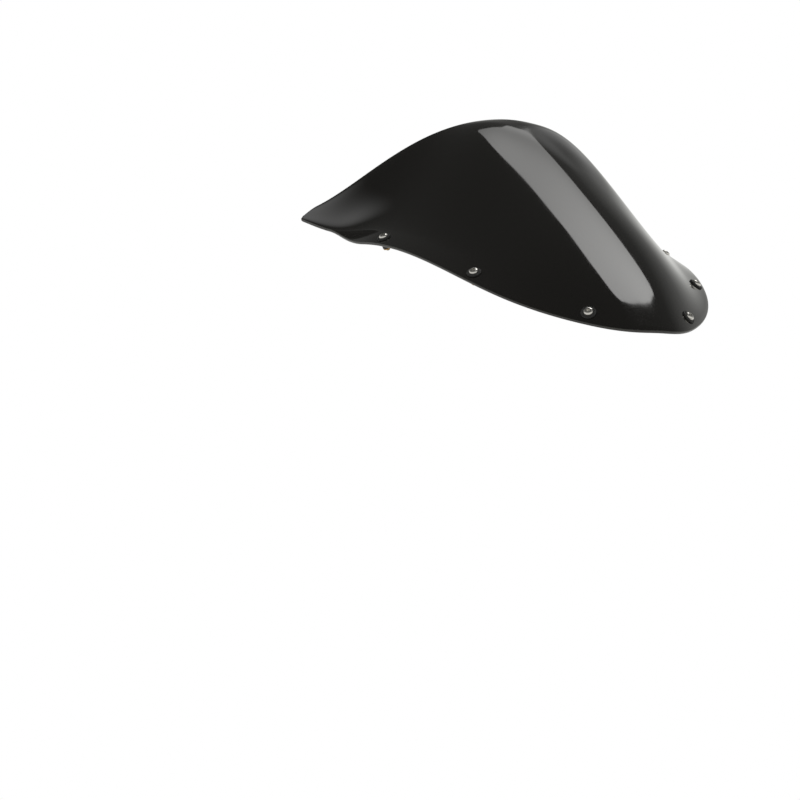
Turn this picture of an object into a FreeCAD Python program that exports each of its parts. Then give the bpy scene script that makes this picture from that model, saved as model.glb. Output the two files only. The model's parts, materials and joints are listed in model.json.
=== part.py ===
import FreeCAD, Part
import math
import os

V = FreeCAD.Vector

# All sizes are in millimetres and degrees. While the screen is being laid out, x runs to the
# rider's left, y runs back from the nose and z runs up, with zero at the nose of the lip line.

# Sheet thickness
SHEET = 3.0

# Lip line, where the mounting flange turns up into the bubble. It runs from the nose past four
# stations to the lower corner of the tail tip, and each step goes outwards, back and up.
FRONT_OUT = 52.0
FRONT_BACK = 31.0
FRONT_UP = 12.5
MIDDLE_OUT = 62.5
MIDDLE_BACK = 99.5
MIDDLE_UP = 43.0
REAR_OUT = 49.5
REAR_BACK = 167.5
REAR_UP = 57.5
HEEL_OUT = 20.0
HEEL_BACK = 64.0
HEEL_UP = 8.0
TIP_OUT = 24.0
TIP_BACK = 60.5
TIP_UP = 21.7

# Angle at which the sheet leaves the lip line at each station
RISE_NOSE = 48.4
RISE_FRONT = 52.3
RISE_MIDDLE = 42.7
RISE_REAR = 33.2
RISE_HEEL = 31.6
RISE_TIP = 30.3

# Rear rim: its crown measured from the nose, and its end measured from the lower corner of the tip
CROWN_BACK = 314.3
CROWN_UP = 249.2
TIP_END_IN = 2.5
TIP_END_BACK = 4.3
TIP_END_UP = 8.5

# Fullness of the rim's shoulders, and how quickly it leaves the crown
SHOULDER = 0.7
RIM_PACE = 0.47

# Angle at which the sheet arrives at the rim
ARRIVE_CROWN = 25.6
ARRIVE_MIDDLE = 17.1
ARRIVE_REAR = 51.2
ARRIVE_TIP = 30.4

# How far the bubble is flattened below a plain curve, halfway up at each station
FLATTEN_NOSE = 5.8
FLATTEN_FRONT = 12.8
FLATTEN_MIDDLE = 2.7
FLATTEN_REAR = 3.0

# Upper corner of the tail tip: the share of the tip's end that is trimmed off to round it, along
# how much of the lip line, and the length over which the edge turns towards the corner
TIP_TRIM = 0.71
TIP_TRIM_RUN = 20.0
TIP_TURN_RUN = 15.0

# Fixings: distance from the nose along the stations, and drop below the lip line
FIXING_FRONT = 63.0
FIXING_MIDDLE = 204.0
FIXING_REAR = 353.0
FIXING_DROP = 12.5

# Mounting flange: margin below the fixings, reach past the rear ones, and fade into the tail edge
FLANGE_MARGIN = 11.5
FLANGE_REACH = 30.0
FLANGE_FADE = 75.0

# Screw, and the brass insert that is tapped for it
SCREW_R = 2.5
THREAD_DEPTH = 0.4
TAP_LEAD = 0.4
INSERT_WALL = 1.0
INSERT_LENGTH = 8.0
INSERT_LIP = 1.1
INSERT_FLANGE = 1.0

# Rubber sleeve round the insert, with a head between sheet and fairing. It is drawn up tight: little
# of it is left free between sheet and insert, and the rest swells past the hole as a collar. The
# screw's passage widens towards its mouth by the moulding draft.
SLEEVE_WALL = 1.4
SLEEVE_FREE = 0.2
SLEEVE_SWELL = 1.9
SLEEVE_COLLAR = 2.6
SLEEVE_COLLAR_ROUND = 1.4
SLEEVE_HEAD = 1.5
SLEEVE_OVERLAP = 2.5
SLEEVE_ROUND = 0.5
SLEEVE_DRAFT = 0.25
SCREW_CLEARANCE = 0.25
HOLE_CLEARANCE = 0.1

# Fineness of the surfaces that carry the formed shape, and crowding of their columns at the tips
COLUMNS = 81
ROWS = 25
EDGE_POINTS = 9
TIP_CROWDING = 0.35
STEP = 1e-4
SEAM = 0.02
OVERCUT = 1.0

# Sizes that follow from those
TAP_R = SCREW_R - THREAD_DEPTH
INSERT_R = SCREW_R + INSERT_WALL
INSERT_FLANGE_R = INSERT_R + INSERT_LIP
SLEEVE_R = INSERT_R + SLEEVE_WALL
SLEEVE_BORE_R = SCREW_R + SCREW_CLEARANCE
SLEEVE_LENGTH = SHEET + SLEEVE_FREE + INSERT_LENGTH
HOLE_R = SLEEVE_R + HOLE_CLEARANCE
SLEEVE_HEAD_R = HOLE_R + SLEEVE_OVERLAP
SLEEVE_COLLAR_R = HOLE_R + SLEEVE_SWELL
FLANGE = FIXING_DROP + FLANGE_MARGIN
FLANGE_END = FIXING_REAR + FLANGE_REACH

NOSE = V(0, 0, 0)
FRONT = NOSE + V(FRONT_OUT, FRONT_BACK, FRONT_UP)
MIDDLE = FRONT + V(MIDDLE_OUT, MIDDLE_BACK, MIDDLE_UP)
REAR = MIDDLE + V(REAR_OUT, REAR_BACK, REAR_UP)
HEEL = REAR + V(HEEL_OUT, HEEL_BACK, HEEL_UP)
TIP = HEEL + V(TIP_OUT, TIP_BACK, TIP_UP)
TIP_END = V(-TIP_END_IN, TIP_END_BACK, TIP_END_UP)
CROWN = V(0, CROWN_BACK, CROWN_UP)

LIP_STATIONS = (NOSE, FRONT, MIDDLE, REAR, HEEL, TIP)
RISES = (RISE_NOSE, RISE_FRONT, RISE_MIDDLE, RISE_REAR, RISE_HEEL, RISE_TIP)
ARRIVALS = (ARRIVE_CROWN, ARRIVE_MIDDLE, ARRIVE_REAR, ARRIVE_TIP)
FLATTENINGS = (FLATTEN_NOSE, FLATTEN_FRONT, FLATTEN_MIDDLE, FLATTEN_REAR, 0.0)
FIXINGS = (("front", FIXING_FRONT), ("middle", FIXING_MIDDLE), ("rear", FIXING_REAR))


def spline(knots, values):
    """Natural cubic spline through the values, as a function."""
    n = len(knots)
    gap = [knots[i + 1] - knots[i] for i in range(n - 1)]
    slope = [(values[i + 1] - values[i]) / gap[i] for i in range(n - 1)]
    bend = [0.0] * n
    share = [0.0] * n
    for i in range(1, n - 1):
        pivot = 2.0 * (gap[i - 1] + gap[i]) - gap[i - 1] * share[i - 1]
        share[i] = gap[i] / pivot
        bend[i] = (6.0 * (slope[i] - slope[i - 1]) - gap[i - 1] * bend[i - 1]) / pivot
    for i in range(n - 2, 0, -1):
        bend[i] -= share[i] * bend[i + 1]

    def value(s):
        i = 0
        while i < n - 2 and s > knots[i + 1]:
            i += 1
        a = knots[i + 1] - s
        b = s - knots[i]
        h = gap[i]
        curve = bend[i] * (a ** 3 / h - a * h) + bend[i + 1] * (b ** 3 / h - b * h)
        return (values[i] * a + values[i + 1] * b) / h + curve / 6.0

    return value


def mirrored(shares, values, sign):
    """Spline through half a set of stations and its mirror image."""
    left = [-k for k in reversed(shares[1:])]
    other = [sign * v for v in reversed(values[1:])]
    return spline(left + list(shares), other + list(values))


def lip_distances():
    """Distance of each station from the nose, from station to station."""
    total = [0.0]
    for a, b in zip(LIP_STATIONS, LIP_STATIONS[1:]):
        total.append(total[-1] + (b - a).Length)
    return total


LIP_LENGTH = lip_distances()[-1]
SHARES = [d / LIP_LENGTH for d in lip_distances()]
LIP_X = mirrored(SHARES, [p.x for p in LIP_STATIONS], -1.0)
LIP_Y = mirrored(SHARES, [p.y for p in LIP_STATIONS], 1.0)
LIP_Z = mirrored(SHARES, [p.z for p in LIP_STATIONS], 1.0)
RISE = mirrored(SHARES, RISES, 1.0)
ARRIVE = mirrored([SHARES[0], SHARES[2], SHARES[3], SHARES[5]], ARRIVALS, 1.0)
FLATTEN = mirrored([SHARES[0], SHARES[1], SHARES[2], SHARES[3], SHARES[5]], FLATTENINGS, 1.0)


def lip(s):
    return V(LIP_X(s), LIP_Y(s), LIP_Z(s))


def rim(s):
    """Bell-shaped rear rim, swept back towards the tail tips."""
    across = RIM_PACE * s + (1.0 - RIM_PACE) * s ** 3
    drop = across ** 2 + SHOULDER * across ** 4 * (1.0 - across ** 2)
    sweep = TIP + TIP_END - CROWN
    return CROWN + V(sweep.x * across, sweep.y * across ** 2, sweep.z * drop)


def flange_width(s):
    """Full width along the fairing, fading to nothing on the free tail edge."""
    k = (abs(s) * LIP_LENGTH - FLANGE_END) / FLANGE_FADE
    k = min(1.0, max(0.0, k))
    return FLANGE * (1.0 - k * k * (3.0 - 2.0 * k))


def profile(s):
    """Plan heading of the profile at s, its run, and the plan length of a flange one unit wide."""
    base = lip(s)
    top = rim(s)
    run = math.hypot(top.x - base.x, top.y - base.y)
    heading = V((top.x - base.x) / run, (top.y - base.y) / run, 0)
    angle = math.radians(RISE(s))
    upward = heading * math.cos(angle) + V(0, 0, math.sin(angle))
    along = lip(s + STEP) - lip(s - STEP)
    along.normalize()
    return base, top, run, heading, math.cos(angle) / along.cross(upward).Length


def at_distance(s, d):
    """Point on the outer face, at plan distance d past the lip line on the profile at s."""
    base, top, run, heading, _ = profile(s)
    start = math.tan(math.radians(RISE(s)))
    end = math.tan(math.radians(ARRIVE(s)))
    if d < 0.0:
        z = base.z + d * start
    else:
        t = d / run
        hold = base.z * (2 * t ** 3 - 3 * t ** 2 + 1) + top.z * (3 * t ** 2 - 2 * t ** 3)
        z = hold + run * (start * (t ** 3 - 2 * t ** 2 + t) + end * (t ** 3 - t ** 2))
        z -= FLATTEN(s) * 16 * t ** 2 * (1 - t) ** 2
    return V(base.x + heading.x * d, base.y + heading.y * d, z)


def on_sheet(s, q):
    """Point on the outer face: s from tail to tail, q from the flange edge to the rim."""
    _, _, run, _, spread = profile(s)
    skirt = flange_width(s) * spread
    return at_distance(s, q * (run + skirt) - skirt)


def outward(s, q):
    """Unit normal of the outer face."""
    along = on_sheet(s + STEP, q) - on_sheet(s - STEP, q)
    up = on_sheet(s, q + STEP) - on_sheet(s, q - STEP)
    n = along.cross(up)
    n.normalize()
    return n


def column_shares():
    """Shares at which the surface is laid out, closer together towards the tail tips."""
    shares = []
    for i in range(COLUMNS):
        u = -1.0 + 2.0 * i / (COLUMNS - 1)
        shares.append(u * (1.0 + TIP_CROWDING - TIP_CROWDING * u * u))
    return shares


def rim_end(s):
    """Where the trimmed sheet ends at the rim side: short of the rim line at the tail tips."""
    k = max(0.0, 1.0 - (1.0 - abs(s)) * LIP_LENGTH / TIP_TRIM_RUN)
    return 1.0 - TIP_TRIM * k * k


def curve_through(points):
    """Smooth curve through points at even parameters, so that neighbours share their borders."""
    curve = Part.BSplineCurve()
    curve.interpolate(Points=points, Parameters=[float(i) for i in range(len(points))])
    return curve


def face_through(grid):
    """Smooth face through a grid of points, column by column."""
    rows = [curve_through(list(row)) for row in zip(*grid)]
    columns = [curve_through(list(column)) for column in zip(*[r.getPoles() for r in rows])]
    along = rows[0]
    across = columns[0]
    surface = Part.BSplineSurface()
    surface.buildFromPolesMultsKnots(
        [c.getPoles() for c in columns],
        along.getMultiplicities(),
        across.getMultiplicities(),
        along.getKnots(),
        across.getKnots(),
        False,
        False,
        along.Degree,
        across.Degree,
    )
    return surface.toShape()


def formed_face(depth):
    """Face that lies the given depth under the outer face."""
    grid = []
    for s in column_shares():
        column = []
        for j in range(ROWS):
            q = rim_end(s) * j / (ROWS - 1)
            column.append(on_sheet(s, q) - outward(s, q) * depth)
        grid.append(column)
    return face_through(grid)


def bullnose(top, n, out):
    """Points of the half-round edge, from the outer face to the inner one."""
    middle = top - n * (SHEET / 2)
    ring = []
    for i in range(EDGE_POINTS):
        a = math.pi * i / (EDGE_POINTS - 1)
        ring.append(middle + (n * math.cos(a) + out * math.sin(a)) * (SHEET / 2))
    return ring


def away(trace, t, n, side):
    """Unit direction out of the sheet across an edge that is traced by a function."""
    out = n.cross(trace(t + STEP) - trace(t - STEP)) * side
    out.normalize()
    return out


def flattened(out, n):
    """A direction laid into the sheet, at unit length."""
    flat = out - n * out.dot(n)
    flat.normalize()
    return flat


def rim_trace(s):
    return on_sheet(s, rim_end(s))


def flange_end(s):
    return 0.0


def flange_trace(s):
    return on_sheet(s, 0.0)


def corner_out(s, trace, end, side):
    """Direction out of a corner of the tail tip, halfway between its two edges."""
    n = outward(s, end(s))
    return away(trace, s, n, side) + away(lambda t: on_sheet(s, t), end(s), n, -s)


def long_edge(trace, end, side):
    """Half-round edge along the rim or along the flange, turned to the corners at its ends."""
    grid = []
    for s in column_shares():
        n = outward(s, end(s))
        out = away(trace, s, n, side)
        k = max(0.0, 1.0 - (1.0 - abs(s)) * LIP_LENGTH / TIP_TURN_RUN)
        if k > 0.0:
            corner = corner_out(math.copysign(1.0, s), trace, end, side)
            corner.normalize()
            out = out * (1.0 - k) + corner * k
        grid.append(bullnose(trace(s), n, flattened(out, n)))
    return face_through(grid)


def tail_edge(s):
    """Half-round end of a tail tip, between its lower and upper corners."""
    low = corner_out(s, flange_trace, flange_end, -1.0)
    high = corner_out(s, rim_trace, rim_end, 1.0)
    low.normalize()
    high.normalize()
    grid = []
    for j in range(ROWS):
        k = j / (ROWS - 1)
        q = rim_end(s) * k
        n = outward(s, q)
        grid.append(bullnose(on_sheet(s, q), n, flattened(low * (1.0 - k) + high * k, n)))
    return face_through(grid)


def formed_sheet():
    """The thermoformed sheet, trimmed, with polished half-round edges."""
    faces = [formed_face(0.0), formed_face(SHEET)]
    faces.append(long_edge(rim_trace, rim_end, 1.0))
    faces.append(long_edge(flange_trace, flange_end, -1.0))
    faces.append(tail_edge(-1.0))
    faces.append(tail_edge(1.0))
    skin = Part.Compound(faces)
    skin.sewShape(SEAM)
    if len(skin.Shells) != 1 or not skin.Shells[0].isClosed():
        raise ValueError("the skin of the sheet is open")
    sheet = Part.Solid(skin.Shells[0])
    if sheet.Volume < 0:
        sheet.reverse()
    return sheet


def fixing_places():
    """Name, seat point and outward direction of each fixing."""
    places = []
    for name, distance in FIXINGS:
        for side, sign in (("right", -1.0), ("left", 1.0)):
            s = sign * distance / LIP_LENGTH
            _, _, run, _, spread = profile(s)
            skirt = flange_width(s) * spread
            d = -FIXING_DROP * spread
            q = (d + skirt) / (run + skirt)
            places.append((name + "_" + side, at_distance(s, d), outward(s, q)))
    return places


def stand(shape, seat, out):
    """Move a shape from the origin, with its z along out, to a seat."""
    moved = shape.copy()
    moved.Placement = FreeCAD.Placement(seat, FreeCAD.Rotation(V(0, 0, 1), out))
    return moved


def rod(radius, low, high):
    return Part.makeCylinder(radius, high - low, V(0, 0, low))


def sleeve_head():
    """Flange of the well nut, left deep so that the sheet can shape its seat."""
    disc = rod(SLEEVE_HEAD_R, -SHEET / 2, SLEEVE_HEAD)
    top = [e for e in disc.Edges if e.BoundBox.ZMin > SLEEVE_HEAD - SEAM]
    return disc.makeFillet(SLEEVE_ROUND, top)


def sleeve_collar():
    """Rubber that the tight screw squeezes out behind the sheet, deep for the same reason."""
    base = -SHEET - SLEEVE_COLLAR
    disc = rod(SLEEVE_COLLAR_R, base, -SHEET / 2)
    low = [e for e in disc.Edges if e.BoundBox.ZMax < base + SEAM]
    return disc.makeFillet(SLEEVE_COLLAR_ROUND, low)


def sleeve_body():
    body = rod(SLEEVE_R, -SLEEVE_LENGTH, SLEEVE_HEAD / 2)
    low = [e for e in body.Edges if e.BoundBox.ZMax < SEAM - SLEEVE_LENGTH]
    return body.makeFillet(SLEEVE_ROUND, low)


def sleeve_hollow():
    """Screw passage, and the pocket that the insert fills."""
    split = INSERT_LENGTH - SLEEVE_LENGTH
    depth = SLEEVE_HEAD - split
    mouth_r = SLEEVE_BORE_R + SLEEVE_DRAFT * (depth + OVERCUT) / depth
    passage = Part.makeCone(SLEEVE_BORE_R, mouth_r, depth + OVERCUT, V(0, 0, split))
    return passage.fuse(rod(INSERT_R, -SLEEVE_LENGTH - OVERCUT, split))


def insert():
    """Tapped brass insert with a flange against the end of the sleeve."""
    mouth = INSERT_LENGTH - SLEEVE_LENGTH
    base = -SLEEVE_LENGTH - INSERT_FLANGE
    body = rod(INSERT_R, -SLEEVE_LENGTH, mouth).fuse(rod(INSERT_FLANGE_R, base, -SLEEVE_LENGTH))
    body = body.cut(rod(TAP_R, base - OVERCUT, mouth + OVERCUT)).removeSplitter()
    lead = Part.makeCone(TAP_R, TAP_R + TAP_LEAD, TAP_LEAD, V(0, 0, mouth - TAP_LEAD))
    return body.cut(lead)


def build():
    """All the pieces by name, in the layout frame."""
    sheet = formed_sheet()
    places = fixing_places()
    pieces = {}
    panel = sheet
    for name, seat, out in places:
        panel = panel.cut(stand(rod(HOLE_R, -2 * SHEET, 2 * SHEET), seat, out))
    pieces["windscreen"] = panel
    for name, seat, out in places:
        head = stand(sleeve_head(), seat, out).cut(sheet)
        collar = stand(sleeve_collar(), seat, out).cut(sheet)
        sleeve = stand(sleeve_body(), seat, out).multiFuse([head, collar])
        sleeve = sleeve.cut(stand(sleeve_hollow(), seat, out))
        pieces["sleeve_" + name] = sleeve.removeSplitter()
        pieces["insert_" + name] = stand(insert(), seat, out)
    return pieces, places


def main():
    pieces, places = build()
    box = Part.Compound(list(pieces.values())).optimalBoundingBox(False)
    shift = V(-(box.XMin + box.XMax) / 2, -(box.YMin + box.YMax) / 2, -box.ZMin)
    os.makedirs("parts", exist_ok=True)
    for name, shape in pieces.items():
        if len(shape.Solids) != 1 or not shape.isValid():
            raise ValueError(name + " is not one valid solid")
        solid = shape.Solids[0]
        solid.translate(shift)
        solid.exportStep("parts/" + name + ".step")
    print("shift", [round(c, 3) for c in shift])
    for name, seat, out in places:
        mouth = seat + shift + out * (INSERT_LENGTH - SLEEVE_LENGTH)
        print(name, [round(c, 3) for c in mouth], [round(c, 5) for c in out])


main()
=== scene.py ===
import json
import math

import bpy
from bpy.props import FloatProperty, FloatVectorProperty, IntProperty, PointerProperty
from mathutils import Matrix, Vector


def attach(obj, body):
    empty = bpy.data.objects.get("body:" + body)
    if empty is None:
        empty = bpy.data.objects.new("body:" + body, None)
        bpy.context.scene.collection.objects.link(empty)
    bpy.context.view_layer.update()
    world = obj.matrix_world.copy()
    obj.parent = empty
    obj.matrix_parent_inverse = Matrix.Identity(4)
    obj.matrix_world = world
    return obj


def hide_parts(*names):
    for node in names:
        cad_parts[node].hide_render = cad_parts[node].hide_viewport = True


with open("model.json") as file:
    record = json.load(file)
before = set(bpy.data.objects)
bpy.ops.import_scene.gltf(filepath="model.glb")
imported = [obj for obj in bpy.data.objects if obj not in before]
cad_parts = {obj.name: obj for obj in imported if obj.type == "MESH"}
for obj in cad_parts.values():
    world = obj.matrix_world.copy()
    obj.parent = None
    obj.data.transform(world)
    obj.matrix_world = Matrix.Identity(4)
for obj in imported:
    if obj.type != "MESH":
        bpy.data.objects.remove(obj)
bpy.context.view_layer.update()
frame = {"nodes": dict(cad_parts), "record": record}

bl_info = {
    "name": "Motorcycle Windscreen",
    "version": (1, 0, 0),
    "blender": (4, 5, 0),
    "location": "View3D > Sidebar > Windscreen",
    "description": "Dresses a formed motorcycle windscreen with its sheet, fixings and studio",
    "category": "Object",
}

# Step along the lip line, as a share of its half length, over which its direction is taken
LIP_STEP = 1e-4
# Angles up to which neighbouring faces are shaded as one
SHEET_SMOOTH = math.radians(40.0)
SCREW_SMOOTH = math.radians(35.0)
# Numbers of the colour sockets of a mix node
MIX_COLOURS = (6, 7)
MIX_RESULT = 2


# Units and colours

def linear(text):
    """Linear colour of an sRGB hex value."""
    parts = []
    for i in (1, 3, 5):
        c = int(text[i:i + 2], 16) / 255.0
        parts.append(c / 12.92 if c <= 0.04045 else ((c + 0.055) / 1.055) ** 2.4)
    return parts


def length(label, note, size):
    """Property for a length, given in millimetres and kept in metres."""
    return FloatProperty(name=label, description=note, default=size / 1000.0, unit="LENGTH", precision=5)


def turn(label, note, degrees):
    """Property for an angle, given in degrees."""
    return FloatProperty(name=label, description=note, default=math.radians(degrees), unit="ROTATION")


def share(label, note, value):
    """Property for a plain factor."""
    return FloatProperty(name=label, description=note, default=value)


def whole(label, note, number, least):
    """Property for a whole number."""
    return IntProperty(name=label, description=note, default=number, min=least)


def tint(label, note, text):
    """Property for a colour, given as an sRGB hex value."""
    colour = linear(text)
    return FloatVectorProperty(name=label, description=note, default=colour, subtype="COLOR", min=0, max=1)


def spot(label, note, place):
    """Property for a place or a step, given in millimetres and kept in metres."""
    metres = [c / 1000.0 for c in place]
    return FloatVectorProperty(
        name=label, description=note, default=metres, subtype="TRANSLATION", unit="LENGTH"
    )


# Sizes and colours that a user would change

class WindscreenForm(bpy.types.PropertyGroup):
    """Sizes of the formed sheet, laid out from the nose of its lip line."""

    thickness: length("Thickness", "Thickness of the sheet", 3.0)
    origin: spot("Nose", "Place of the lip line's nose in the frame", (0.0, -204.868, 20.477))
    front_step: spot("Front step", "Out, back and up from nose to front station", (52.0, 31.0, 12.5))
    middle_step: spot("Middle step", "From the front station to the middle one", (62.5, 99.5, 43.0))
    rear_step: spot("Rear step", "From the middle station to the rear one", (49.5, 167.5, 57.5))
    heel_step: spot("Heel step", "From the rear station to the heel of the tail", (20.0, 64.0, 8.0))
    tip_step: spot("Tip step", "From the heel to the lower corner of the tail tip", (24.0, 60.5, 21.7))
    tip_end: spot("Tip end", "From the tail tip's lower corner to the rim's end", (-2.5, 4.3, 8.5))
    crown: spot("Crown", "Crown of the rear rim, from the nose", (0.0, 314.3, 249.2))
    shoulder: share("Shoulder", "Fullness of the rim's shoulders", 0.7)
    rim_pace: share("Rim pace", "How quickly the rim leaves its crown", 0.47)
    rise_nose: turn("Rise at nose", "Angle at which the sheet leaves the lip line", 48.4)
    rise_front: turn("Rise at front", "Angle at which the sheet leaves the lip line", 52.3)
    rise_middle: turn("Rise at middle", "Angle at which the sheet leaves the lip line", 42.7)
    rise_rear: turn("Rise at rear", "Angle at which the sheet leaves the lip line", 33.2)
    rise_heel: turn("Rise at heel", "Angle at which the sheet leaves the lip line", 31.6)
    rise_tip: turn("Rise at tip", "Angle at which the sheet leaves the lip line", 30.3)
    arrive_crown: turn("Arrival at crown", "Angle at which the sheet arrives at the rim", 25.6)
    arrive_middle: turn("Arrival at middle", "Angle at which the sheet arrives at the rim", 17.1)
    arrive_rear: turn("Arrival at rear", "Angle at which the sheet arrives at the rim", 51.2)
    arrive_tip: turn("Arrival at tip", "Angle at which the sheet arrives at the rim", 30.4)
    flatten_nose: length("Flattening at nose", "Drop below a plain curve, halfway up", 5.8)
    flatten_front: length("Flattening at front", "Drop below a plain curve, halfway up", 12.8)
    flatten_middle: length("Flattening at middle", "Drop below a plain curve, halfway up", 2.7)
    flatten_rear: length("Flattening at rear", "Drop below a plain curve, halfway up", 3.0)
    flange: length("Flange", "Width of the flange below the lip line", 24.0)
    flange_full: length("Flange run", "Distance from the nose at full width", 383.0)
    flange_fade: length("Flange fade", "Distance over which the flange fades away", 75.0)
    tip_trim: share("Tip trim", "Share of the tail tip's end that is trimmed off to round it", 0.71)
    tip_trim_run: length("Trim run", "Length of edge that the trimming takes", 20.0)
    hole: length("Hole radius", "Radius of the well-nut holes", 5.0)
    seat: length("Seat height", "From the start of each thread to the outer face of the sheet", 3.6)
    columns: whole("Columns", "Faces along the sheet", 240, 40)
    rows: whole("Rows", "Faces across the sheet", 72, 12)
    crowding: share("Crowding", "How much closer together the columns are at the tail tips", 0.35)
    round_steps: whole("Round steps", "Faces from a face's border to the middle of the edge", 5, 2)
    round_end: turn("Round end", "Angle at which the round of the edge ends in a narrow flat", 85.0)
    tip_wall: share("Tip wall", "Wall at the end of a tail tip, as a share of the thickness", 0.3)


class WindscreenScrews(bpy.types.PropertyGroup):
    """Sizes of the button-head screws."""

    head: length("Head radius", "Radius of the button head", 4.75)
    height: length("Head height", "Height of the button head", 2.75)
    crown: length("Crown radius", "Radius of the flat on top of the head", 2.3)
    dome: share("Dome", "Rounding of the head, as a share of the width beside its crown", 0.98)
    socket: length("Socket", "Width across the flats of the socket", 3.0)
    depth: length("Socket depth", "Depth of the socket", 1.6)
    shank: length("Shank radius", "Radius of the shank's core", 2.05)
    reach: length("Length", "Length under the head", 16.0)
    pitch: length("Thread pitch", "Distance between the ridges of the thread", 0.8)
    thread: length("Threaded length", "Length of thread at the screw's end", 7.2)
    groove: share("Thread groove", "Radius in the thread's grooves, as a share of the shank's", 0.86)
    point: length("Point", "Length of the chamfered point", 0.615)
    point_end: share("Point end", "Radius at the end of the point, as a share of the shank's", 0.72)
    rubber: length("Rubber head", "Height of the rubber head that the screw sits on", 1.5)


class WindscreenFinishes(bpy.types.PropertyGroup):
    """Colours of the finishes."""

    acrylic: tint("Acrylic", "Body of the black acrylic sheet", "#141311")
    edge: tint("Cut edge", "Edge of the sheet where it was cut and polished", "#33322f")
    rubber: tint("Rubber", "Moulded rubber of the well nuts", "#1c1c1b")
    brass: tint("Brass", "Turned brass of the inserts", "#b8935a")
    steel: tint("Stainless steel", "Steel of the screws", "#cbc9c4")
    floor: tint("Floor", "Paper floor of the studio", "#e9e8e6")


class WindscreenStudio(bpy.types.PropertyGroup):
    """Camera and light."""

    camera: spot("Camera", "Place of the camera", (-917.0, -1881.8, -195.9))
    heading: turn("Heading", "Turn of the camera from straight back", -21.502)
    pitch: turn("Pitch", "Upward tilt of the camera", 4.031)
    lens: FloatProperty(
        name="Lens", description="Focal length on a 36 mm sensor", default=90.0, unit="CAMERA"
    )
    floor_height: length("Floor", "Height of the floor", -950.0)
    floor_radius: length("Floor radius", "Radius of the floor", 3000.0)
    floor_plain: share("Plain floor", "Share of the floor's radius at which it starts to fade", 0.35)
    floor_faded: share("Faded floor", "Share of the floor's radius at which it has faded", 0.95)
    ceiling: length("Strip height", "Height of the overhead strip light", 2000.0)
    strip: share("Strip level", "Brightness of the overhead strip light", 4.95)
    strip_dim: share("Strip dimming", "Level at the strip's far end, as a share", 0.19)
    strip_near: length("Strip near end", "Distance back at which the strip starts to dim", -500.0)
    strip_far: length("Strip far end", "Distance back at which the strip is dimmest", 1300.0)
    strip_corner: length("Strip corners", "Rounding of the strip's corners", 110.0)
    tail_card: share("Tail card level", "Brightness of the small soft light beside the right tail", 2.6)
    tail_card_place: spot("Tail card", "Middle of the light beside the right tail", (-339.7, 258.9, 279.6))
    tail_card_along: spot("Tail card length", "From its middle to its end", (92.358, 7.308, 85.428))
    tail_card_across: spot("Tail card width", "From its middle to its side", (11.174, 70.892, -18.13))
    tail_card_core: share("Tail card core", "Share of its half size at which it would be full", -0.43)
    far_card: share("Far card level", "Brightness of the small soft light behind the far shoulder", 0.354)
    far_card_place: spot("Far card", "Middle of the light behind the far shoulder", (261.9, 329.0, 476.6))
    far_card_along: spot("Far card length", "From its middle to its end", (-96.28, -20.735, 106.43))
    far_card_across: spot("Far card width", "From its middle to its side", (42.504, -67.956, 25.2))
    far_card_core: share("Far card core", "Share of its half size at which it is full", 0.405)
    fill: share("Fill level", "Level of the room light", 0.8)


# Selection and finishing tools

def deselect():
    bpy.ops.object.select_all(action="DESELECT")


def only(piece):
    """Selects one object and makes it active."""
    deselect()
    piece.select_set(True)
    bpy.context.view_layer.objects.active = piece


def apply_modifiers(piece):
    only(piece)
    for modifier in list(piece.modifiers):
        bpy.ops.object.modifier_apply(modifier=modifier.name)


def dress(piece, *finishes):
    """Gives a piece its materials in place of any that it has."""
    piece.data.materials.clear()
    for finish in finishes:
        piece.data.materials.append(finish)


def turned_to(place, axis):
    """Matrix that stands a piece's z along an axis at a place."""
    return Matrix.Translation(place) @ Vector(axis).to_track_quat("Z", "Y").to_matrix().to_4x4()


def fixings():
    """Name, seat on the outer face and outward axis of each fixing, from the frame."""
    seat = bpy.context.scene.windscreen_form.seat
    found = []
    for mount in frame["record"]["mounts"]:
        axis = Vector(mount["axis"])
        found.append((mount["name"].replace("fixing_", ""), Vector(mount["pos_m"]) + axis * seat, axis))
    return found


# Shape of the sheet

def spline(knots, values):
    """Natural cubic spline through the values, as a function."""
    n = len(knots)
    gap = [knots[i + 1] - knots[i] for i in range(n - 1)]
    slope = [(values[i + 1] - values[i]) / gap[i] for i in range(n - 1)]
    bend = [0.0] * n
    part = [0.0] * n
    for i in range(1, n - 1):
        pivot = 2.0 * (gap[i - 1] + gap[i]) - gap[i - 1] * part[i - 1]
        part[i] = gap[i] / pivot
        bend[i] = (6.0 * (slope[i] - slope[i - 1]) - gap[i - 1] * bend[i - 1]) / pivot
    for i in range(n - 2, 0, -1):
        bend[i] -= part[i] * bend[i + 1]

    def value(s):
        i = 0
        while i < n - 2 and s > knots[i + 1]:
            i += 1
        a = knots[i + 1] - s
        b = s - knots[i]
        h = gap[i]
        curve = bend[i] * (a ** 3 / h - a * h) + bend[i + 1] * (b ** 3 / h - b * h)
        return (values[i] * a + values[i + 1] * b) / h + curve / 6.0

    return value


def mirrored(shares, values, sign=1.0):
    """Spline through half a set of stations and its mirror image."""
    left = [-k for k in reversed(shares[1:])]
    other = [sign * v for v in reversed(values[1:])]
    return spline(left + list(shares), other + list(values))


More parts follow.
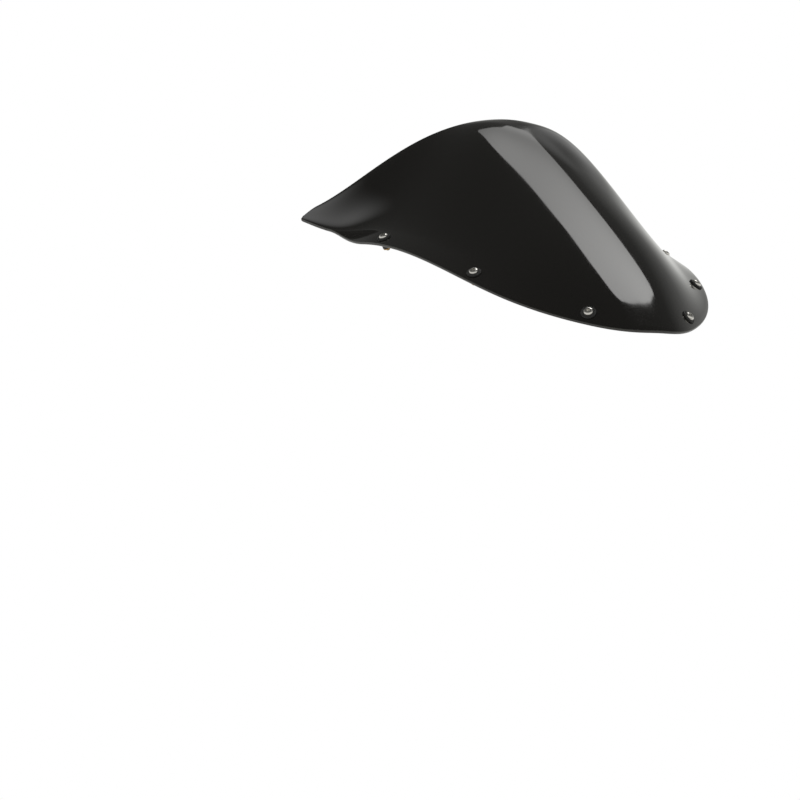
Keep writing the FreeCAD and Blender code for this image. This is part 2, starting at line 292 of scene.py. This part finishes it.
class SheetForm:
    """Outer face of the sheet: s runs from tail to tail, q from the flange edge to the rim."""

    def __init__(self, size):
        self.size = size
        stations = [Vector((0, 0, 0))]
        for step in (size.front_step, size.middle_step, size.rear_step, size.heel_step, size.tip_step):
            stations.append(stations[-1] + step)
        run = [0.0]
        for a, b in zip(stations, stations[1:]):
            run.append(run[-1] + (b - a).length)
        self.half = run[-1]
        at = [d / self.half for d in run]
        self.lip_x = mirrored(at, [p.x for p in stations], -1.0)
        self.lip_y = mirrored(at, [p.y for p in stations])
        self.lip_z = mirrored(at, [p.z for p in stations])
        rises = (
            size.rise_nose, size.rise_front, size.rise_middle,
            size.rise_rear, size.rise_heel, size.rise_tip,
        )
        arrivals = (size.arrive_crown, size.arrive_middle, size.arrive_rear, size.arrive_tip)
        drops = (size.flatten_nose, size.flatten_front, size.flatten_middle, size.flatten_rear, 0.0)
        self.rise = mirrored(at, rises)
        self.arrive = mirrored([at[0], at[2], at[3], at[5]], arrivals)
        self.flatten = mirrored([at[0], at[1], at[2], at[3], at[5]], drops)
        self.sweep = stations[-1] + Vector(size.tip_end) - Vector(size.crown)

    def lip(self, s):
        return Vector((self.lip_x(s), self.lip_y(s), self.lip_z(s)))

    def rim(self, s):
        pace = self.size.rim_pace
        across = pace * s + (1.0 - pace) * s ** 3
        drop = across ** 2 + self.size.shoulder * across ** 4 * (1.0 - across ** 2)
        sweep = self.sweep
        return Vector(self.size.crown) + Vector((sweep.x * across, sweep.y * across ** 2, sweep.z * drop))

    def flange_width(self, s):
        k = (abs(s) * self.half - self.size.flange_full) / self.size.flange_fade
        k = min(1.0, max(0.0, k))
        return self.size.flange * (1.0 - k * k * (3.0 - 2.0 * k))

    def rim_end(self, s):
        k = max(0.0, 1.0 - (1.0 - abs(s)) * self.half / self.size.tip_trim_run)
        return 1.0 - self.size.tip_trim * k * k

    def column(self, s, count):
        """Points of one profile, from the flange edge to the rim."""
        base = self.lip(s)
        top = self.rim(s)
        run = math.hypot(top.x - base.x, top.y - base.y)
        heading = Vector(((top.x - base.x) / run, (top.y - base.y) / run, 0.0))
        start = math.tan(self.rise(s))
        end = math.tan(self.arrive(s))
        upward = (heading + Vector((0, 0, start))).normalized()
        along = (self.lip(s + LIP_STEP) - self.lip(s - LIP_STEP)).normalized()
        skirt = self.flange_width(s) * math.cos(self.rise(s)) / along.cross(upward).length
        points = []
        for j in range(count):
            d = self.rim_end(s) * j / (count - 1) * (run + skirt) - skirt
            t = d / run
            if d < 0.0:
                z = base.z + d * start
            else:
                # Cubic from lip to rim, less a hump that is highest halfway
                hold = base.z * (2 * t ** 3 - 3 * t ** 2 + 1) + top.z * (3 * t ** 2 - 2 * t ** 3)
                z = hold + run * (start * (t ** 3 - 2 * t ** 2 + t) + end * (t ** 3 - t ** 2))
                z -= self.flatten(s) * 16 * t ** 2 * (1 - t) ** 2
            place = Vector((base.x + heading.x * d, base.y + heading.y * d, z))
            points.append(place + Vector(self.size.origin))
        return points


def round_turns(size):
    """Angles at which the round of the edge is stepped, from the border of a face."""
    return [size.round_end * (k + 1) / size.round_steps for k in range(size.round_steps)]


def rimmed(points, size):
    """The grid with rows added past its long borders for the round of the edge, and its tail ends
    pushed out."""
    radius = size.thickness / 2
    turns = round_turns(size)
    out = []
    for column in points:
        low = (column[0] - column[1]).normalized() * radius
        high = (column[-1] - column[-2]).normalized() * radius
        below = [column[0] + low * math.sin(a) for a in reversed(turns)]
        above = [column[-1] + high * math.sin(a) for a in turns]
        out.append(below + column + above)
    end = len(out[0]) - 1
    for tip, inner in ((0, 1), (-1, -2)):
        for j in range(end + 1):
            bulge = radius * math.sqrt(max(0.0, 1.0 - (2.0 * j / end - 1.0) ** 2))
            out[tip][j] = out[tip][j] + (out[tip][j] - out[inner][j]).normalized() * bulge
    return out


# Finishes

def add(tree, kind, settings=None, values=None, links=None):
    """Adds a node, with its settings, its input values and the sockets linked to its inputs."""
    node = tree.nodes.new(kind)
    for name, value in (settings or {}).items():
        setattr(node, name, value)
    for name, value in (values or {}).items():
        node.inputs[name].default_value = value
    for name, socket in (links or {}).items():
        tree.links.new(socket, node.inputs[name])
    return node


def blank(name):
    """New material with an empty tree and its output node."""
    finish = bpy.data.materials.new(name)
    finish.use_nodes = True
    tree = finish.node_tree
    tree.nodes.clear()
    return finish, tree, tree.nodes.new("ShaderNodeOutputMaterial")


def noise(tree, width, detail):
    """Noise with features about this many millimetres wide, in the piece's own coordinates."""
    place = add(tree, "ShaderNodeTexCoord").outputs["Object"]
    node = add(
        tree, "ShaderNodeTexNoise",
        values={"Scale": 1000.0 / width, "Detail": detail},
        links={"Vector": place},
    )
    return node.outputs["Fac"]


def ranged(tree, socket, low, high, start=0.0, end=1.0, kind="LINEAR"):
    """Value that goes from low to high as the socket goes from start to end."""
    node = add(
        tree, "ShaderNodeMapRange", {"interpolation_type": kind},
        values={"From Min": start, "From Max": end, "To Min": low, "To Max": high},
        links={"Value": socket},
    )
    return node.outputs["Result"]


def bumped(tree, socket, strength, depth):
    """Normal with bumps that follow the socket, up to this many millimetres deep."""
    node = add(
        tree, "ShaderNodeBump",
        values={"Strength": strength, "Distance": depth / 1000.0},
        links={"Height": socket},
    )
    return node.outputs["Normal"]


def blended(tree, factor, first, second):
    """Colour between two, each of them a plain colour or a socket."""
    node = add(tree, "ShaderNodeMix", {"data_type": "RGBA"}, links={0: factor})
    for number, colour in zip(MIX_COLOURS, (first, second)):
        if isinstance(colour, tuple):
            node.inputs[number].default_value = colour
        else:
            tree.links.new(colour, node.inputs[number])
    return node.outputs[MIX_RESULT]


def surface(tree, out, values, links):
    """Gives the material its surface shader."""
    shader = add(tree, "ShaderNodeBsdfPrincipled", values=values, links=links)
    tree.links.new(shader.outputs[0], out.inputs["Surface"])


def acrylic_sheet(colour):
    """Cast acrylic, thermoformed and polished: a deep black gloss whose reflections waver a little."""
    finish, tree, out = blank("polished_black_acrylic")
    # Slow waves left by the forming, about 45 mm long, and polishing haze in patches of about 30 mm
    wave = noise(tree, 45.0, 1.0)
    haze = noise(tree, 30.0, 4.0)
    rough = ranged(tree, haze, 0.045, 0.075, 0.3, 0.7)
    normal = bumped(tree, wave, 0.05, 0.3)
    look = {"Base Color": (*colour, 1.0), "IOR": 1.49}
    surface(tree, out, look, {"Roughness": rough, "Normal": normal})
    return finish


def acrylic_edge(colour):
    """Cut acrylic edge, scraped round and buffed: paler and softer than the faces, with scrape marks."""
    finish, tree, out = blank("buffed_acrylic_edge")
    # Scrape marks, about 0.8 mm apart, drawn coarser than the real ones so that they show
    marks = noise(tree, 0.8, 2.0)
    rough = ranged(tree, marks, 0.22, 0.42)
    normal = bumped(tree, marks, 0.15, 0.2)
    look = {"Base Color": (*colour, 1.0), "IOR": 1.49}
    surface(tree, out, look, {"Roughness": rough, "Normal": normal})
    return finish


def moulded_rubber(colour):
    """Moulded chloroprene rubber: matt, with a fine bloom and a grain from the mould."""
    finish, tree, out = blank("moulded_rubber")
    # Mould grain, about 0.5 mm
    grain = noise(tree, 0.5, 3.0)
    rough = ranged(tree, grain, 0.62, 0.85)
    normal = bumped(tree, grain, 0.35, 0.1)
    look = {"Base Color": (*colour, 1.0), "IOR": 1.52}
    surface(tree, out, look, {"Roughness": rough, "Normal": normal})
    return finish


def turned_brass(colour):
    """Turned brass: a warm metal, a little tarnished in patches."""
    finish, tree, out = blank("turned_brass")
    # Tarnish in patches, about 2 mm wide, that takes about a quarter of the brightness
    stain = noise(tree, 2.0, 4.0)
    tarnished = [c * 0.72 for c in colour]
    rough = ranged(tree, stain, 0.22, 0.48)
    shade = blended(tree, stain, (*colour, 1.0), (*tarnished, 1.0))
    surface(tree, out, {"Metallic": 1.0}, {"Roughness": rough, "Base Color": shade})
    return finish


def stainless_steel(colour):
    """Cold-headed stainless steel, tumbled: a pale satin metal with soft patches."""
    finish, tree, out = blank("tumbled_stainless_steel")
    # Tumbling marks, about 0.7 mm
    marks = noise(tree, 0.7, 3.0)
    rough = ranged(tree, marks, 0.16, 0.34)
    surface(tree, out, {"Metallic": 1.0, "Base Color": (*colour, 1.0)}, {"Roughness": rough})
    return finish


# Pieces

class WINDSCREEN_OT_formed_sheet(bpy.types.Operator):
    """Makes the formed sheet, with rounded edges and the holes of its fixings"""

    bl_idname = "windscreen.formed_sheet"
    bl_label = "Formed Sheet"
    bl_options = {"REGISTER", "UNDO"}

    def execute(self, context):
        size = context.scene.windscreen_form
        colours = context.scene.windscreen_finishes
        deselect()
        bpy.ops.mesh.primitive_grid_add(
            x_subdivisions=size.columns, y_subdivisions=size.rows + 2 * size.round_steps, size=2.0
        )
        sheet = context.object
        sheet.name = "formed_sheet"
        dress(sheet, acrylic_sheet(colours.acrylic), acrylic_edge(colours.edge))
        wall_share = self.shape(sheet, size)
        middle = sheet.modifiers.new("Middle face", "DISPLACE")
        middle.mid_level = 0.0
        middle.strength = -size.thickness / 2
        wall = sheet.modifiers.new("Thickness", "SOLIDIFY")
        wall.thickness = size.thickness
        wall.offset = 0.0
        wall.vertex_group = wall_share.name
        wall.use_even_offset = True
        wall.use_quality_normals = True
        wall.material_offset_rim = 1
        apply_modifiers(sheet)
        self.drill(sheet, size)
        only(sheet)
        bpy.ops.object.shade_smooth_by_angle(angle=SHEET_SMOOTH)
        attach(sheet, "root")
        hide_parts("windscreen")
        return {"FINISHED"}

    def shape(self, sheet, size):
        """Moves the flat grid's points onto the outer face and returns the group that thins the wall
        towards its edge."""
        form = SheetForm(size)
        steps = size.round_steps
        across = sorted({round(v.co.x, 6) for v in sheet.data.vertices})
        upward = sorted({round(v.co.y, 6) for v in sheet.data.vertices})
        points = []
        for u in across:
            s = u * (1.0 + size.crowding - size.crowding * u * u)
            points.append(form.column(s, len(upward) - 2 * steps))
        points = rimmed(points, size)
        thinning = [math.cos(a) for a in round_turns(size)]
        shares = thinning[::-1] + [1.0] * (len(upward) - 2 * steps) + thinning
        column = {u: i for i, u in enumerate(across)}
        row = {v: j for j, v in enumerate(upward)}
        group = sheet.vertex_groups.new(name="Wall")
        border = set()
        for v in sheet.data.vertices:
            i = column[round(v.co.x, 6)]
            j = row[round(v.co.y, 6)]
            at_tip = i in (0, len(across) - 1)
            group.add([v.index], shares[j] * (size.tip_wall if at_tip else 1.0), "REPLACE")
            if at_tip or shares[j] < 1.0:
                border.add(v.index)
            v.co = points[i][j]
        for polygon in sheet.data.polygons:
            polygon.material_index = int(any(i in border for i in polygon.vertices))
        sheet.data.update()
        return group

    def drill(self, sheet, size):
        """Cuts the holes of the fixings."""
        for name, seat, axis in fixings():
            deselect()
            bpy.ops.mesh.primitive_cylinder_add(vertices=48, radius=size.hole, depth=size.thickness * 4)
            drill = bpy.context.object
            drill.matrix_world = turned_to(seat, axis)
            hole = sheet.modifiers.new("Hole " + name, "BOOLEAN")
            hole.operation = "DIFFERENCE"
            hole.solver = "EXACT"
            hole.object = drill
            bpy.context.view_layer.update()
            apply_modifiers(sheet)
            bpy.data.objects.remove(drill)


class WINDSCREEN_OT_well_nuts(bpy.types.Operator):
    """Finishes the rubber sleeves and brass inserts of the well nuts"""

    bl_idname = "windscreen.well_nuts"
    bl_label = "Well Nuts"
    bl_options = {"REGISTER", "UNDO"}

    def execute(self, context):
        colours = context.scene.windscreen_finishes
        rubber = moulded_rubber(colours.rubber)
        brass = turned_brass(colours.brass)
        for name, piece in frame["nodes"].items():
            if name.startswith("sleeve_"):
                dress(piece, rubber)
            elif name.startswith("insert_"):
                dress(piece, brass)
        return {"FINISHED"}


class WINDSCREEN_OT_screws(bpy.types.Operator):
    """Makes one button-head screw and stands a copy in each well nut"""

    bl_idname = "windscreen.screws"
    bl_label = "Screws"
    bl_options = {"REGISTER", "UNDO"}

    def execute(self, context):
        size = context.scene.windscreen_screws
        steel = stainless_steel(context.scene.windscreen_finishes.steel)
        pattern = self.pattern(size)
        dress(pattern, steel)
        for name, seat, axis in fixings():
            only(pattern)
            bpy.ops.object.duplicate()
            screw = context.object
            screw.name = "screw_" + name
            screw.matrix_world = turned_to(seat + axis * size.rubber, axis)
            bpy.ops.object.transform_apply(location=True, rotation=True, scale=True)
            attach(screw, "root")
        bpy.data.objects.remove(pattern)
        return {"FINISHED"}

    def pattern(self, size):
        """One screw at the origin, with its head above the ground plane."""
        deselect()
        bpy.ops.mesh.primitive_cylinder_add(
            vertices=64, radius=size.head, depth=size.height, location=(0, 0, size.height / 2)
        )
        screw = bpy.context.object
        bpy.ops.object.transform_apply(location=True, rotation=True, scale=True)
        self.dome(screw, size)
        self.socket(screw, size)
        self.shank(screw, size)
        only(screw)
        bpy.ops.object.shade_smooth_by_angle(angle=SCREW_SMOOTH)
        return screw

    def dome(self, screw, size):
        """Rounds the top of the head."""
        bpy.ops.object.mode_set(mode="EDIT")
        bpy.ops.mesh.select_all(action="DESELECT")
        bpy.ops.object.mode_set(mode="OBJECT")
        # The top circle is all that stands above this height
        near_top = size.height * 0.9
        for edge in screw.data.edges:
            edge.select = all(screw.data.vertices[i].co.z > near_top for i in edge.vertices)
        bpy.ops.object.mode_set(mode="EDIT")
        bpy.ops.mesh.bevel(
            offset_type="OFFSET", offset=(size.head - size.crown) * size.dome,
            segments=10, profile=0.5, clamp_overlap=True,
        )
        bpy.ops.object.mode_set(mode="OBJECT")

    def socket(self, screw, size):
        """Sinks the six-sided socket."""
        deselect()
        bpy.ops.mesh.primitive_cylinder_add(
            vertices=6, radius=size.socket / math.sqrt(3.0),
            depth=size.depth * 2, location=(0, 0, size.height),
        )
        punch = bpy.context.object
        sunk = screw.modifiers.new("Socket", "BOOLEAN")
        sunk.operation = "DIFFERENCE"
        sunk.solver = "EXACT"
        sunk.object = punch
        bpy.context.view_layer.update()
        apply_modifiers(screw)
        bpy.data.objects.remove(punch)

    def shank(self, screw, size):
        """Draws the shank out of the head's underside, with a threaded end and a chamfered point."""
        only(screw)
        bpy.ops.object.mode_set(mode="EDIT")
        bpy.ops.mesh.select_mode(type="FACE")
        bpy.ops.mesh.select_all(action="DESELECT")
        bpy.ops.object.mode_set(mode="OBJECT")
        under = min(v.co.z for v in screw.data.vertices)
        for polygon in screw.data.polygons:
            polygon.select = polygon.normal.z < -0.99 and abs(polygon.center.z - under) < 1e-5
        bpy.ops.object.mode_set(mode="EDIT")
        bpy.ops.mesh.inset(thickness=size.head - size.shank)
        self.draw_out(size.reach - size.thread - size.point, 1.0)
        for _ in range(round(size.thread / size.pitch)):
            self.draw_out(size.pitch / 2, size.groove)
            self.draw_out(size.pitch / 2, 1.0 / size.groove)
        self.draw_out(size.point, size.point_end)
        bpy.ops.object.mode_set(mode="OBJECT")

    def draw_out(self, run, taper):
        """Extrudes the selected end face downwards and scales it."""
        bpy.ops.mesh.extrude_region_move(TRANSFORM_OT_translate={"value": (0, 0, -run)})
        bpy.ops.transform.resize(value=(taper, taper, 1.0))


# Studio

class WINDSCREEN_OT_studio(bpy.types.Operator):
    """Sets up the floor, the lights, the room and the camera"""

    bl_idname = "windscreen.studio"
    bl_label = "Studio"
    bl_options = {"REGISTER", "UNDO"}

    def execute(self, context):
        studio = context.scene.windscreen_studio
        self.floor(studio, context.scene.windscreen_finishes.floor)
        self.strip(studio)
        for name in ("tail_card", "far_card"):
            self.card(studio, name)
        self.room(context.scene, studio)
        self.camera(context.scene, studio)
        context.scene.view_settings.view_transform = "Standard"
        return {"FINISHED"}

    def floor(self, studio, colour):
        """Round paper floor whose rim fades into the white room."""
        deselect()
        bpy.ops.mesh.primitive_circle_add(
            vertices=96, radius=studio.floor_radius, fill_type="NGON", location=(0, 0, studio.floor_height)
        )
        floor = bpy.context.object
        floor.name = "floor"
        bpy.ops.object.transform_apply(location=True, rotation=True, scale=True)
        finish, tree, out = blank("floor_paper")
        place = add(tree, "ShaderNodeTexCoord").outputs["Object"]
        flat = add(tree, "ShaderNodeVectorMath", {"operation": "MULTIPLY"}, links={0: place})
        flat.inputs[1].default_value = (1.0, 1.0, 0.0)
        away = add(tree, "ShaderNodeVectorMath", {"operation": "LENGTH"}, links={0: flat.outputs[0]})
        start = studio.floor_radius * studio.floor_plain
        end = studio.floor_radius * studio.floor_faded
        fade = ranged(tree, away.outputs["Value"], 0.0, 1.0, start, end, "SMOOTHSTEP")
        seen = add(tree, "ShaderNodeLightPath")
        share_seen = add(
            tree, "ShaderNodeMath", {"operation": "MULTIPLY"},
            links={0: fade, 1: seen.outputs["Is Camera Ray"]},
        )
        paper = add(tree, "ShaderNodeBsdfDiffuse", values={"Color": (*colour, 1.0)})
        white = add(tree, "ShaderNodeEmission", values={"Color": (1.0, 1.0, 1.0, 1.0), "Strength": 1.0})
        mix = add(
            tree, "ShaderNodeMixShader",
            links={0: share_seen.outputs[0], 1: paper.outputs[0], 2: white.outputs[0]},
        )
        tree.links.new(mix.outputs[0], out.inputs["Surface"])
        dress(floor, finish)

    def strip(self, studio):
        """Overhead strip light along the motorcycle, a little bowed, and dimmer towards its far end."""
        # Corners in metres to the left and back, round from the near right one
        outline = (
            (0.15, -0.38), (0.50, -0.33), (1.00, -0.14), (1.36, 0.06), (1.76, 0.42),
            (1.42, 0.65), (1.22, 1.00), (1.06, 1.22), (1.08, 1.79), (0.84, 1.40),
            (0.42, 1.20), (0.06, 1.20), (0.05, 0.58), (0.19, 0.24),
        )
        deselect()
        bpy.ops.mesh.primitive_circle_add(vertices=len(outline), fill_type="NGON")
        panel = bpy.context.object
        panel.name = "strip_light"
        for v, (x, y) in zip(panel.data.vertices, outline):
            v.co = (x, y, studio.ceiling)
        bpy.ops.object.mode_set(mode="EDIT")
        bpy.ops.mesh.select_all(action="SELECT")
        bpy.ops.mesh.bevel(offset=studio.strip_corner, segments=6, affect="VERTICES")
        bpy.ops.object.mode_set(mode="OBJECT")
        finish, tree, out = blank("strip_light_cloth")
        place = add(tree, "ShaderNodeTexCoord").outputs["Object"]
        parts = add(tree, "ShaderNodeSeparateXYZ", links={0: place})
        dimmest = studio.strip * studio.strip_dim
        near, far = studio.strip_near, studio.strip_far
        level = ranged(tree, parts.outputs["Y"], studio.strip, dimmest, near, far, "SMOOTHSTEP")
        glow = add(
            tree, "ShaderNodeEmission",
            values={"Color": (1.0, 0.995, 0.98, 1.0)},
            links={"Strength": level},
        )
        tree.links.new(glow.outputs[0], out.inputs["Surface"])
        dress(panel, finish)
        panel.visible_camera = False

    def card(self, studio, name):
        """Small oval light that only reflections show, brightest in its middle and nothing at its rim."""
        along = Vector(getattr(studio, name + "_along"))
        across = Vector(getattr(studio, name + "_across"))
        place = Vector(getattr(studio, name + "_place"))
        core = getattr(studio, name + "_core")
        level = getattr(studio, name)
        deselect()
        bpy.ops.mesh.primitive_circle_add(vertices=64, radius=1.0, fill_type="NGON")
        card = bpy.context.object
        card.name = name
        turned = Matrix((along, across, along.cross(across).normalized())).transposed().to_4x4()
        card.matrix_world = Matrix.Translation(place) @ turned
        finish, tree, out = blank(name + "_cloth")
        spread = add(tree, "ShaderNodeTexCoord").outputs["Object"]
        away = add(tree, "ShaderNodeVectorMath", {"operation": "LENGTH"}, links={0: spread})
        shine = ranged(tree, away.outputs["Value"], 0.0, level, 1.0, core, "SMOOTHSTEP")
        glow = add(tree, "ShaderNodeEmission", links={"Strength": shine})
        clear = add(tree, "ShaderNodeBsdfTransparent")
        both = add(tree, "ShaderNodeAddShader", links={0: glow.outputs[0], 1: clear.outputs[0]})
        tree.links.new(both.outputs[0], out.inputs["Surface"])
        dress(card, finish)
        card.visible_camera = False
        card.visible_diffuse = False
        card.visible_shadow = False

    def room(self, scene, studio):
        """White to the camera, with a plain fill light and a dark ceiling over a bright horizon in
        reflections."""
        world = bpy.data.worlds.new("studio_room")
        world.use_nodes = True
        tree = world.node_tree
        tree.nodes.clear()
        aim = add(tree, "ShaderNodeTexCoord").outputs["Generated"]
        height = add(tree, "ShaderNodeSeparateXYZ", links={0: aim})
        ramp = add(tree, "ShaderNodeValToRGB", links={0: height.outputs["Z"]})
        # Height of a reflected ray and the level of the room there, with a little less blue
        stops = ((0.0, 1.0), (0.22, 0.72), (0.45, 0.28), (0.66, 0.1))
        blue = 0.97
        for position, _ in stops[2:]:
            ramp.color_ramp.elements.new(position)
        for stop, (position, level) in zip(ramp.color_ramp.elements, stops):
            stop.position = position
            stop.color = (level, level, level * blue, 1.0)
        path = add(tree, "ShaderNodeLightPath")
        fill = (studio.fill, studio.fill, studio.fill, 1.0)
        glossy = blended(tree, path.outputs["Is Glossy Ray"], fill, ramp.outputs[0])
        open_ray = add(
            tree, "ShaderNodeMath", {"operation": "MAXIMUM"},
            links={0: path.outputs["Is Camera Ray"], 1: path.outputs["Is Transmission Ray"]},
        )
        seen = blended(tree, open_ray.outputs[0], glossy, (1.0, 1.0, 1.0, 1.0))
        light = add(tree, "ShaderNodeBackground", values={"Strength": 1.0}, links={"Color": seen})
        add(tree, "ShaderNodeOutputWorld", links={"Surface": light.outputs[0]})
        scene.world = world

    def camera(self, scene, studio):
        """Camera ahead of the motorcycle, to its right and a little low."""
        deselect()
        bpy.ops.object.camera_add(
            location=studio.camera, rotation=(math.pi / 2 + studio.pitch, 0.0, studio.heading)
        )
        camera = bpy.context.object
        camera.data.lens = studio.lens
        camera.data.sensor_width = 36.0
        camera.data.clip_end = 100.0
        scene.camera = camera


class WINDSCREEN_PT_panel(bpy.types.Panel):
    """Lists the pieces and their sizes"""

    bl_idname = "WINDSCREEN_PT_panel"
    bl_label = "Windscreen"
    bl_space_type = "VIEW_3D"
    bl_region_type = "UI"
    bl_category = "Windscreen"

    def draw(self, context):
        scene = context.scene
        for operator in OPERATORS:
            self.layout.operator(operator.bl_idname)
        for group in (
            scene.windscreen_form,
            scene.windscreen_screws,
            scene.windscreen_finishes,
            scene.windscreen_studio,
        ):
            box = self.layout.box()
            for name in group.bl_rna.properties.keys():
                if name not in {"rna_type", "name"}:
                    box.prop(group, name)


GROUPS = {
    "windscreen_form": WindscreenForm,
    "windscreen_screws": WindscreenScrews,
    "windscreen_finishes": WindscreenFinishes,
    "windscreen_studio": WindscreenStudio,
}
OPERATORS = (
    WINDSCREEN_OT_formed_sheet,
    WINDSCREEN_OT_well_nuts,
    WINDSCREEN_OT_screws,
    WINDSCREEN_OT_studio,
)


def register():
    for name, group in GROUPS.items():
        bpy.utils.register_class(group)
        setattr(bpy.types.Scene, name, PointerProperty(type=group))
    for operator in OPERATORS:
        bpy.utils.register_class(operator)
    bpy.utils.register_class(WINDSCREEN_PT_panel)


def unregister():
    bpy.utils.unregister_class(WINDSCREEN_PT_panel)
    for operator in reversed(OPERATORS):
        bpy.utils.unregister_class(operator)
    for name, group in reversed(GROUPS.items()):
        delattr(bpy.types.Scene, name)
        bpy.utils.unregister_class(group)


def main():
    register()
    bpy.ops.windscreen.formed_sheet()
    bpy.ops.windscreen.well_nuts()
    bpy.ops.windscreen.screws()
    bpy.ops.windscreen.studio()


if __name__ == "__main__":
    main()
